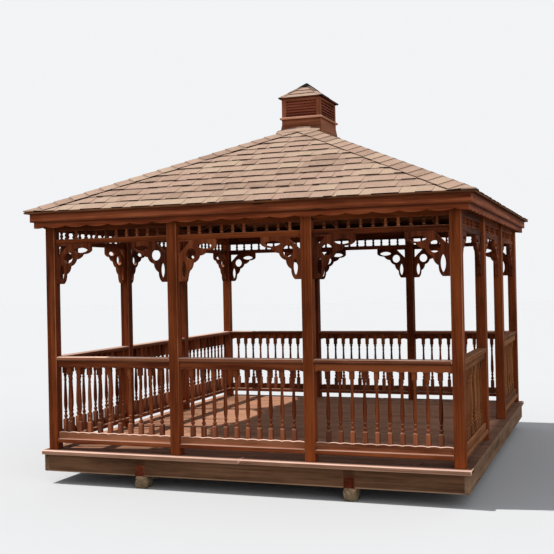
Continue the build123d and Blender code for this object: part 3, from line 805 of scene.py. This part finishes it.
# The fretwork is drawn as a filled curve once, and its mesh is placed in every corner
def bracketMesh():
    curve = bpy.data.curves.new("fretwork", "CURVE")
    curve.dimensions = "2D"
    curve.fill_mode = "BOTH"
    rounding = bracketSetup["rounding"] / 1000
    curve.extrude = bracketSetup["thick"] / 2000 - rounding
    curve.bevel_depth = rounding
    curve.bevel_resolution = 1
    curve.offset = -rounding
    for loop in bracketLoops():
        spline = curve.splines.new("POLY")
        spline.points.add(len(loop) - 1)
        for point, place in zip(spline.points, loop):
            point.co = (place.x / 1000, place.y / 1000, 0, 1)
        spline.use_cyclic_u = True
    holder = put("fretwork", curve)
    bpy.context.view_layer.update()
    mesh = bpy.data.meshes.new_from_object(holder.evaluated_get(bpy.context.evaluated_depsgraph_get()))
    points = [tuple(vertex.co) for vertex in mesh.vertices]
    faces = [tuple(face.vertices) for face in mesh.polygons]
    bpy.data.objects.remove(holder)
    return points, faces


def buildBrackets():
    points, faces = bracketMesh()
    for wall in walls:
        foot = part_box(f"frieze_{wall}")[0].z - deckTop
        stack = Stack(f"brackets.{wall}", 300 + len(wall))
        halfClear = bayClear(wall) / 2
        for bay in range(1, bays + 1):
            for side in (-1, 1):
                place = wallSpace(wall) @ move(bayMiddle(wall, bay) + side * halfClear, postSize / 2, foot)
                stack.add(points, faces, place @ spin(90 + 90 * side) @ spin(90, "X"), "y")
        stack.finish([timber("rails")], f"brackets_{wall}")


# Scalloped skirt boards and plain fascias round the eaves
skirtSetup = {
    "scallop": 0.211, "rise": 0.016, "power": 0.7, "steps": 14, "thick": 0.019, "fasciaThick": 0.025,
    "eased": 0.003,
}


def buildEaves():
    setup = skirtSetup
    for pair, wallPair, along in (("front_back", ("front", "back"), 0), ("sides", ("right", "left"), 1)):
        low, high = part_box(f"skirt_{pair}")
        outLow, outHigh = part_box(f"fascia_{pair}")
        skirt = Stack(f"skirt.{pair}", 41 + len(pair))
        fascia = Stack(f"fascia.{pair}", 51 + len(pair))
        length = high[along] - low[along]
        waves = round(length / setup["scallop"])
        size = (outHigh[along] - outLow[along], setup["fasciaThick"], outHigh.z - outLow.z)

        def scallopLow(x):
            share = abs(math.cos(math.pi * waves * (x / length + 0.5)))
            return low.z + setup["rise"] * (1 - share ** setup["power"])

        for wall in wallPair:
            turn = spin(walls[wall]["turn"])
            place = turn @ move(0, -high[1 - along])
            skirt.shaped(length, scallopLow, lambda x: high.z, setup["thick"], waves * setup["steps"], place)
            fascia.board(size, turn @ move(0, size[1] / 2 - outHigh[1 - along], (outLow.z + outHigh.z) / 2))
        skirt.finish(worked("eaves"), f"skirt_{pair}", setup["eased"])
        fascia.finish(worked("fascia"), f"fascia_{pair}", setup["eased"])


# Hip roof: each slope has its own space, x along the eave, y up the slope, z off it
roofSetup = {
    "pitch": 5.5 / 12, "thick": 0.020, "sheathing": 0.012, "firstPlank": 0.006, "plank": 0.140,
    "plankGap": 0.003, "sliver": 0.01,
}
slopeAngle = math.atan(roofSetup["pitch"])
roofHalf = {"x": roofHigh.x, "y": -roofLow.y}
roofRun = min(roofHalf.values())
slopeLength = roofRun / math.cos(slopeAngle)


# Half length of a wall's eave, and distance out to it
def eaveReach(wall):
    return (roofHalf["x"], roofHalf["y"]) if wall in ("front", "back") else (roofHalf["y"], roofHalf["x"])


def slopeSpace(wall, lift=0.0):
    tilt = spin(math.degrees(slopeAngle), "X")
    return spin(walls[wall]["turn"]) @ move(0, -eaveReach(wall)[1], roofLow.z) @ tilt @ move(0, 0, lift)


def slopeHalf(wall, up):
    return max(eaveReach(wall)[0] - up * math.cos(slopeAngle), 0.0)


def buildSheathing(wall, seed):
    setup = roofSetup
    stack = Stack(f"sheathing.{wall}", seed)
    up = setup["firstPlank"]
    while up < slopeLength - setup["sliver"]:
        top = min(up + setup["plank"], slopeLength)
        head = top - setup["plankGap"]
        low, high = slopeHalf(wall, up), slopeHalf(wall, head)
        outline = [(-low, up), (low, up), (high, head), (-high, head)]
        points = [(x, y, z) for z in (0, setup["sheathing"]) for x, y in outline]
        faces = [(3, 2, 1, 0), (4, 5, 6, 7), (0, 1, 5, 4), (1, 2, 6, 5), (2, 3, 7, 6), (3, 0, 4, 7)]
        stack.add(points, faces, slopeSpace(wall))
        up = top
    stack.finish([timber("hidden")], f"roof_{wall}")


# Shingle strips and the tabs laid on them, with a printed dark band near the top of each
shingleSetup = {
    "exposure": 0.165, "headLap": 0.035, "inset": 0.0145, "length": 0.985, "baseThick": 0.0050,
    "tabThick": 0.0105, "headThick": 0.0006, "buttSpread": (0.9, 1.08), "bandStart": 0.64, "bandEnd": 0.73,
    "bandShade": (0.25, 1.0), "tabStart": (0.02, 0.10), "tabEnd": 0.06, "tabWidth": (0.10, 0.25),
    "tabGap": (0.03, 0.13), "tabTone": 0.25, "tabDrop": (-0.003, 0.001), "tabFlare": 0.012, "sliver": 0.01,
}


# Faces over a grid of spots, and of the butt that hangs from its first row
def gridFaces(rows, columns, buttSlot):
    faces = []
    for row in range(rows - 1):
        for step in range(columns):
            a = row * (columns + 1) + step
            faces.append((a, a + 1, a + columns + 2, a + columns + 1))
    slots = [0] * len(faces) + [buttSlot] * columns
    base = rows * (columns + 1)
    faces += [(base + step, base + step + 1, step + 1, step) for step in range(columns)]
    return faces, slots


# One shingle piece, a thin wedge; butt is the height of its lower edge
def layShingle(stack, place, corners, butt, tone, split=4, dull=0.0):
    setup = shingleSetup
    lowLeft, lowRight, topRight, topLeft = (Vector(corner) for corner in corners)
    points, shades = [], []
    rows = (0.0, setup["bandStart"], setup["bandEnd"], 1.0)
    band = stack.chance.uniform(*setup["bandShade"])
    for row in rows:
        left, right = lowLeft.lerp(topLeft, row), lowRight.lerp(topRight, row)
        rise = setup["headThick"] + (butt - setup["headThick"]) * (1 - row)
        for step in range(split + 1):
            spot = left.lerp(right, step / split)
            points.append((spot.x, spot.y, rise))
            shades.append(max(smooth(setup["bandStart"], setup["bandEnd"], row) * band, dull))
    faces, slots = gridFaces(len(rows), split, 1)
    base = len(points)
    last = base - split - 1
    points += [(x, y, 0.0) for x, y, z in points[:split + 1] + [points[last], points[last + split]]]
    foot = base + split + 1
    for row in range(len(rows) - 1):
        a, b = row * (split + 1), (row + 1) * (split + 1)
        if row == 0:
            faces += [(a, b, foot, base), (a + split, base + split, foot + 1, b + split)]
        else:
            faces += [(a, b, foot), (a + split, foot + 1, b + split)]
        slots += [0, 0]
    shades += [0.0] * (len(points) - base)
    stack.add(points, faces, place, "x", tone, slots, shades)


def buildSlope(wall, seed):
    setup = shingleSetup
    stack = Stack(f"shingles.{wall}", seed)
    chance = stack.chance
    place = slopeSpace(wall, roofSetup["sheathing"])
    for course in range(math.ceil(slopeLength / setup["exposure"])):
        low = course * setup["exposure"] + (setup["inset"] if course == 0 else 0.0)
        high = min(low + setup["exposure"] + setup["headLap"], slopeLength)
        reachLow, reachHigh = slopeHalf(wall, low), slopeHalf(wall, high)
        x = -reachLow - chance.uniform(0, setup["length"])
        while x < reachLow:
            nextX = x + setup["length"]
            blend = chance.random()
            strips = [(x, nextX, setup["baseThick"], blend)]
            tab = x + chance.uniform(*setup["tabStart"])
            while tab < nextX - setup["tabEnd"]:
                wide = min(chance.uniform(*setup["tabWidth"]), nextX - tab)
                tone = blend + chance.uniform(-setup["tabTone"], setup["tabTone"])
                strips.append((tab, tab + wide, setup["tabThick"], tone))
                tab += wide + chance.uniform(*setup["tabGap"])
            for start, end, butt, tone in strips:
                isTab = butt == setup["tabThick"]
                drop = chance.uniform(*setup["tabDrop"]) if isTab else 0.0
                flare = chance.uniform(-setup["tabFlare"], setup["tabFlare"]) if isTab else 0.0
                left, right = max(start, -reachLow), min(end, reachLow)
                tops = [(clamp(spot, reachHigh), high) for spot in (end + flare, start - flare)]
                if right - left > setup["sliver"]:
                    butt *= chance.uniform(*setup["buttSpread"])
                    corners = [(left, low + drop), (right, low + drop), *tops]
                    layShingle(stack, place, corners, butt, min(max(tone, 0), 1))
            x = nextX
    stack.finish(shingles, f"roof_{wall}", 0.0, "shingle")


# Folded caps climb each hip; each half lies on its own slope
hipCapSetup = {
    "half": 0.145, "exposure": 0.145, "lap": 0.05, "thick": 0.0085, "lift": 0.0004, "columns": 4,
    "rows": ((0.0, 1.0), (0.55, 0.55), (0.74, 0.3), (1.0, 0.08)),  # share of the length, of the thickness
    "band": (0.5, 0.76), "shade": 0.35,
}


def buildCaps():
    setup = hipCapSetup
    stack = Stack("hipCaps", 77)
    eaveTop = roofLow.z + roofSetup["thick"] / math.cos(slopeAngle)
    for sideX in (-1, 1):
        for sideY in (-1, 1):
            foot = Vector((sideX * roofHalf["x"], sideY * roofHalf["y"], eaveTop))
            climb = Vector((-sideX * roofRun, -sideY * roofRun, roofRun * roofSetup["pitch"]))
            length = climb.length
            climb.normalize()
            slopes = (
                (Vector((sideX * math.sin(slopeAngle), 0, math.cos(slopeAngle))), Vector((0, sideY, 0))),
                (Vector((0, sideY * math.sin(slopeAngle), math.cos(slopeAngle))), Vector((sideX, 0, 0))),
            )
            up = 0.0
            while up < length:
                tone = stack.chance.random()
                for normal, away in slopes:
                    aside = normal.cross(climb).normalized()
                    if aside.dot(away) > 0:
                        aside = -aside
                    layCap(stack, foot + climb * up, climb, aside, normal, tone, (sideX, sideY))
                up += setup["exposure"]
    stack.finish(shingles, "hip_and_ridge_caps", 0.0, "shingle")


# One half of a folded cap, kept inside its own quarter of the roof
def layCap(stack, foot, climb, aside, normal, tone, quarter):
    setup = hipCapSetup
    points, shades = [], []
    columns = setup["columns"]
    reach = setup["exposure"] + setup["lap"]
    for share, rise in setup["rows"]:
        for step in range(columns + 1):
            spot = foot + climb * reach * share + aside * (setup["half"] * step / columns)
            points.append(spot + normal * (setup["thick"] * rise + setup["lift"]))
            shades.append(smooth(*setup["band"], share) * setup["shade"])
    rows = len(setup["rows"])
    faces, slots = gridFaces(rows, columns, 0)
    base = len(points)
    outer = [row * (columns + 1) + columns for row in range(rows)]
    points += [points[edge] - normal * setup["thick"] for edge in [*range(columns + 1), *outer]]
    shades += [0.0] * (len(points) - base)
    low = base + columns + 1
    for row in range(rows - 1):
        faces.append((outer[row], low + row, low + row + 1, outer[row + 1]))
        slots.append(1)
    kept = []
    for spot in points:
        pastX = max(quarter[0] * spot.x - roofHalf["x"], 0.0)
        pastY = max(quarter[1] * spot.y - roofHalf["y"], 0.0)
        x = quarter[0] * max(quarter[0] * spot.x - pastX, 0.0)
        y = quarter[1] * max(quarter[1] * spot.y - pastY, 0.0)
        kept.append((x, y, spot.z + (pastX + pastY) * roofSetup["pitch"]))
    stack.add(kept, faces, Matrix.Identity(4), "x", tone, slots, shades)


# Louvred cupola on the ridge, deeper than it is wide
cupolaSetup = {
    "slats": 6, "slatThick": 0.008, "slatDepth": 0.042, "slatTilt": 48, "slatEased": 0.001,
    "cornerBoard": 0.045, "wall": 0.038, "headRail": 0.025, "sillThick": 0.020, "sillReach": 0.018,
    "sillWide": 0.06, "floorInset": 0.02, "floorThick": 0.012, "flare": 0.020, "straight": 0.048,
    "eased": 0.003,
}


# Half length along a face and distance out to it, for each quarter turn
def cupolaFace(turn, grow=0.0, corner=cupolaHigh):
    long, out = (corner.x, corner.y) if turn % 2 == 0 else (corner.y, corner.x)
    return long + grow, out + grow


def buildCupolaBase():
    setup = cupolaSetup
    low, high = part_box("cupola_base")
    sillLow = high.z - setup["sillThick"]
    base = Stack("cupolaBase", 81)
    sill = Stack("cupolaSill", 82)
    for turn in range(4):
        points = []
        for z, grow in ((low.z, setup["flare"]), (sillLow - setup["straight"], 0.0), (sillLow, 0.0)):
            long, out = cupolaFace(turn, grow)
            points += [(-long, -out, z), (long, -out, z)]
        base.add(points, [(0, 1, 3, 2), (2, 3, 5, 4)], spin(90 * turn))
        long, out = cupolaFace(turn, setup["sillReach"])
        size = (2 * (long - setup["sillWide"] * (turn % 2)), setup["sillWide"], setup["sillThick"])
        sill.board(size, spin(90 * turn) @ move(0, size[1] / 2 - out, sillLow + size[2] / 2))
    base.finish(worked("foot"), "cupola_base", setup["eased"])
    inset = setup["floorInset"]
    size = (2 * (cupolaHigh.x - inset), 2 * (cupolaHigh.y - inset), setup["floorThick"])
    sill.board(size, move(0, 0, sillLow + size[2] / 2))
    sill.finish(worked("sill"), "cupola_base", setup["eased"])


# A course of shingles turned up against each side of the cupola's foot
saddleSetup = {
    "reach": 0.105, "lean": 13.0, "tabWidth": (0.07, 0.11), "lastTab": 0.02, "butt": 0.006, "swell": 0.55,
    "tones": (0.4, 0.9),
}


def buildSaddle():
    setup = saddleSetup
    stack = Stack("cupolaSaddle", 86)
    for turn, wall in enumerate(walls):
        long, out = cupolaFace(turn, cupolaSetup["flare"])
        foot = (eaveReach(wall)[1] - out) / math.cos(slopeAngle) - setup["reach"]
        place = slopeSpace(wall, roofSetup["sheathing"] + shingleSetup["tabThick"]) @ move(0, foot)
        place = place @ spin(setup["lean"], "X")
        x = -long
        while x < long - setup["lastTab"]:
            end = min(x + stack.chance.uniform(*setup["tabWidth"]), long)
            tops = [(spot, setup["reach"] * (1 - setup["swell"] * (spot / long) ** 2)) for spot in (end, x)]
            corners = [(x, 0.0), (end, 0.0), *tops]
            layShingle(stack, place, corners, setup["butt"], stack.chance.uniform(*setup["tones"]), 2)
            x = end
    stack.finish(shingles, "hip_and_ridge_caps", 0.0, "shingle")


def buildLouvers():
    setup = cupolaSetup
    height = cupolaHigh.z - cupolaLow.z
    pitch = (height - setup["headRail"]) / setup["slats"]
    post, wall = setup["cornerBoard"], setup["wall"]
    frames = Stack("cupolaFrames", 83)
    slats = Stack("cupolaSlats", 84)
    for turn in range(4):
        long, out = cupolaFace(turn)
        face = spin(90 * turn)
        corner = move(long - post / 2, post / 2 - out, cupolaLow.z + height / 2)
        frames.board((post, post, height), face @ corner)
        window = 2 * (long - post)
        head = move(0, wall / 2 - out, cupolaHigh.z - setup["headRail"] / 2)
        frames.board((window, wall, setup["headRail"]), face @ head)
        for row in range(setup["slats"]):
            spot = face @ move(0, wall / 2 - out, cupolaLow.z + (row + 0.5) * pitch)
            slats.board((window, setup["slatDepth"], setup["slatThick"]), spot @ spin(setup["slatTilt"], "X"))
    frames.finish(worked("cupola"), "cupola_louvers", setup["eased"])
    slats.finish(worked("louvers"), "cupola_louvers", setup["slatEased"])


# Its roof is hipped to a short ridge, under a folded metal cap
cupolaRoofSetup = {
    "edge": 0.012, "underlay": 0.004, "courses": 4, "courseLap": 0.02, "courseStart": 0.001,
    "tabThick": 0.007, "tabWidth": (0.10, 0.19), "lastTab": 0.02, "capWide": 0.042, "capStep": 0.095,
    "capThick": 0.004, "capSink": 0.001, "lastCap": 0.03, "capDull": 0.2, "topDull": 0.6, "topCaps": 2,
    "tip": 0.032, "tipGap": 0.001, "flap": 0.016, "flapRise": 0.006, "flapLip": 0.001, "flapTuck": 0.003,
    "metalEased": 0.002,
}


def buildCupolaRoof():
    setup = cupolaRoofSetup
    low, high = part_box("cupola_roof")
    edge = low.z + setup["edge"]
    run = min(high.x, high.y)
    angle = math.atan((high.z - edge) / run)
    slope = run / math.cos(angle)
    stack = Stack("cupolaRoof", 87)
    boards = Stack("cupolaRoofBoards", 88)
    for turn in range(4):
        long, out = cupolaFace(turn, 0.0, high)
        tilt = spin(math.degrees(angle), "X")
        place = spin(90 * turn) @ move(0, -out, edge - setup["tabThick"]) @ tilt
        lifted = spin(90 * turn) @ move(0, -out, edge - setup["capSink"]) @ tilt
        outline = [(-long, 0), (long, 0), (long - run, slope), (run - long, slope)]
        points = [(x, y, z) for z in (-setup["underlay"], 0.0) for x, y in outline]
        boards.add(points, [(3, 2, 1, 0), (4, 5, 6, 7), (0, 1, 5, 4)], place)

        def halfAt(up):
            return long - up * math.cos(angle)

        layCupolaCourses(stack, place, slope, halfAt)
        layCupolaCaps(stack, lifted, slope, halfAt)
    stack.finish(shingles, "cupola_roof", 0.0, "shingle")
    boards.finish([timber("louvers")], "cupola_roof")
    buildPeakCap(math.tan(angle))
    # Near-black metal tips at the roof's four corners: drip-edge corners, painted dark for the shade they sit
    # in
    tips = Stack("cupolaCornerTips", 90)
    tip, thick = setup["tip"], setup["edge"]
    for sideX in (-1, 1):
        for sideY in (-1, 1):
            spot = move(sideX * (high.x - tip / 2), sideY * (high.y - tip / 2), low.z + thick / 2)
            tips.board((tip, tip, thick - setup["tipGap"]), spot)
    tips.finish([metal], "cupola_roof", setup["metalEased"], "dark_metal")


# halfAt gives half the length of this side of the roof at each distance up the slope
def layCupolaCourses(stack, place, slope, halfAt):
    setup = cupolaRoofSetup
    step = slope / setup["courses"]
    for course in range(setup["courses"]):
        up = course * step
        head = min(up + step + setup["courseLap"], slope)
        reachLow, reachHigh = halfAt(up), halfAt(head)
        x = -reachLow
        while x < reachLow - setup["lastTab"]:
            end = x + min(stack.chance.uniform(*setup["tabWidth"]), reachLow - x)
            butts = [(spot, up + setup["courseStart"]) for spot in (x, end)]
            tops = [(clamp(spot, reachHigh), head) for spot in (end, x)]
            layShingle(stack, place, butts + tops, setup["tabThick"], stack.chance.random(), 2)
            x = end


# Narrow caps climb the hips at both ends of a side, duller where the metal shades them
def layCupolaCaps(stack, place, slope, halfAt):
    setup = cupolaRoofSetup
    foot = 0.0
    while foot < slope - setup["lastCap"]:
        head = min(foot + setup["capStep"] + setup["courseLap"], slope)
        a, b = halfAt(foot), halfAt(head)
        isTop = foot > slope - setup["topCaps"] * setup["capStep"]
        dull = setup["topDull"] if isTop else setup["capDull"]
        for side in (-1, 1):
            lows = sorted((side * (a - setup["capWide"]), side * a))
            highs = sorted((side * b, side * max(b - setup["capWide"], 0.0)), reverse=True)
            corners = [(x, foot) for x in lows] + [(x, head) for x in highs]
            layShingle(stack, place, corners, setup["capThick"], stack.chance.random(), 1, dull)
        foot += setup["capStep"]


def buildPeakCap(pitch):
    setup = cupolaRoofSetup
    low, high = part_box("cupola_peak_cap")
    ridge = high.y - high.x
    flap = setup["flap"]
    brim = low.z - flap * pitch
    points = [(0, -ridge, high.z), (0, ridge, high.z)]
    turns = ((setup["flapRise"], flap), (setup["flapLip"], flap), (0.0, flap - setup["flapTuck"]))
    for rise, grow in turns:
        x, y, z = high.x + grow, high.y + grow, brim + rise
        points += [(-x, -y, z), (x, -y, z), (x, y, z), (-x, y, z)]
    faces = [(0, 2, 3), (0, 3, 4, 1), (1, 4, 5), (1, 5, 2, 0)]
    for row in range(len(turns) - 1):
        for side in range(4):
            a, b = 2 + 4 * row + side, 2 + 4 * row + (side + 1) % 4
            faces.append((a, a + 4, b + 4, b))
    cap = Stack("cupolaPeakCap", 89)
    cap.add(points, faces, Matrix.Identity(4))
    cap.finish([metal], "cupola_peak_cap", setup["metalEased"], "dark_metal")


# Rough split blocks: rounded boxes worn down by noise, flat where they bear; apart keeps them unlike
blockSetup = {
    "size": (0.120, 0.150, 0.110), "cuts": 22, "wear": 0.1375, "roundness": (4.4, 3.6), "chips": 22,
    "chipDepth": 0.25, "chipNoise": (0.7, 2.1, 4), "fullness": 1.12, "apart": 9.0,
}


def buildBlocks():
    setup = blockSetup
    stack = Stack("roughBlocks", 91)
    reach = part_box("foundation_blocks")[1].y - setup["size"][1] / 2
    spots = [(sx * skidMiddle, row * reach) for row in (-1, 0, 1) for sx in (-1, 1)]
    cuts = setup["cuts"]
    bearing = setup["size"][2] / 2
    for number, (placeX, placeY) in enumerate(spots):
        power = setup["roundness"][number % 2]
        index, points, faces = {}, [], []

        def corner(key):
            if key not in index:
                index[key] = len(points)
                spot = Vector([2 * k / cuts - 1 for k in key])
                size = sum(abs(c) ** power for c in spot) ** (1 / power)
                spot = Vector([c / size * s / 2 for c, s in zip(spot, setup["size"])])
                own = Vector((number * setup["apart"], 0, 0))
                chip = noise.fractal(spot * setup["chips"] + own, *setup["chipNoise"])
                spot *= 1 - max(chip + setup["chipDepth"], 0) * setup["wear"]
                points.append((spot.x, spot.y, clamp(spot.z * setup["fullness"], bearing)))
            return index[key]

        for axis in range(3):
            for side in (0, cuts):
                for a in range(cuts):
                    for b in range(cuts):
                        ring = []
                        for da, db in ((0, 0), (1, 0), (1, 1), (0, 1)):
                            key = [0, 0, 0]
                            key[axis] = side
                            key[(axis + 1) % 3] = a + da
                            key[(axis + 2) % 3] = b + db
                            ring.append(corner(tuple(key)))
                        faces.append(tuple(ring) if side else tuple(reversed(ring)))
        stack.add(points, faces, move(placeX, placeY, bearing))
    stack.finish([stone], "foundation_blocks", 0.0, "weathered_block")


# Frame nodes that keep their own shape: look, direction of the grain, wear and painted highlight of the edges
keptNodes = {
    "skids": ("skids", "y", 0.9), "cross_beams": ("rims", "x", 0.2), "side_rims": ("sideRims", "y", 0.5),
    "joists": ("hidden", "y", 0.9), "rafters": ("hidden", "x", 0.9), "hip_rafters": ("hidden", "y", 0.9),
    "plates_front_back": ("eaves", "x", 0.9), "plates_sides": ("eaves", "y", 0.9),
}
keptSetup = {"eased": 0.004, "weld": 0.0001}


def dressNodes():
    for name, (look, axis, wear) in keptNodes.items():
        node = nodes[name]
        node.data.materials.clear()
        for material in worked(look, look, axis, wear):
            node.data.materials.append(material)
        weld = node.modifiers.new("weld", "WELD")
        weld.merge_threshold = keptSetup["weld"]
        easeEdges(node, keptSetup["eased"], 1)


def buildFloor():
    mesh = bpy.data.meshes.new("paleFloor")
    reach = lightSetup["floorReach"]
    corners = [(-reach, -reach, 0), (reach, -reach, 0), (reach, reach, 0), (-reach, reach, 0)]
    mesh.from_pydata(corners, [], [(0, 1, 2, 3)])
    mesh.materials.append(floorFinish())
    floor = put("paleFloor", mesh)


makeCamera()
makeLight()
buildFloor()
print("camera, light and floor ready")
dressNodes()
buildBlocks()
buildDeck()
buildPosts()
print("floor frame and posts ready")
buildRails()
print("rails ready")
for number, wall in enumerate(walls):
    buildFrieze(wall, 200 + 10 * number)
buildBrackets()
buildEaves()
print("friezes, brackets and eaves ready")
for number, wall in enumerate(walls):
    buildSheathing(wall, 400 + number)
    buildSlope(wall, 410 + number)
buildCaps()
print("roof ready")
buildCupolaBase()
buildSaddle()
buildLouvers()
buildCupolaRoof()
print("cupola ready")

bpy.context.scene.view_settings.view_transform = "Standard"
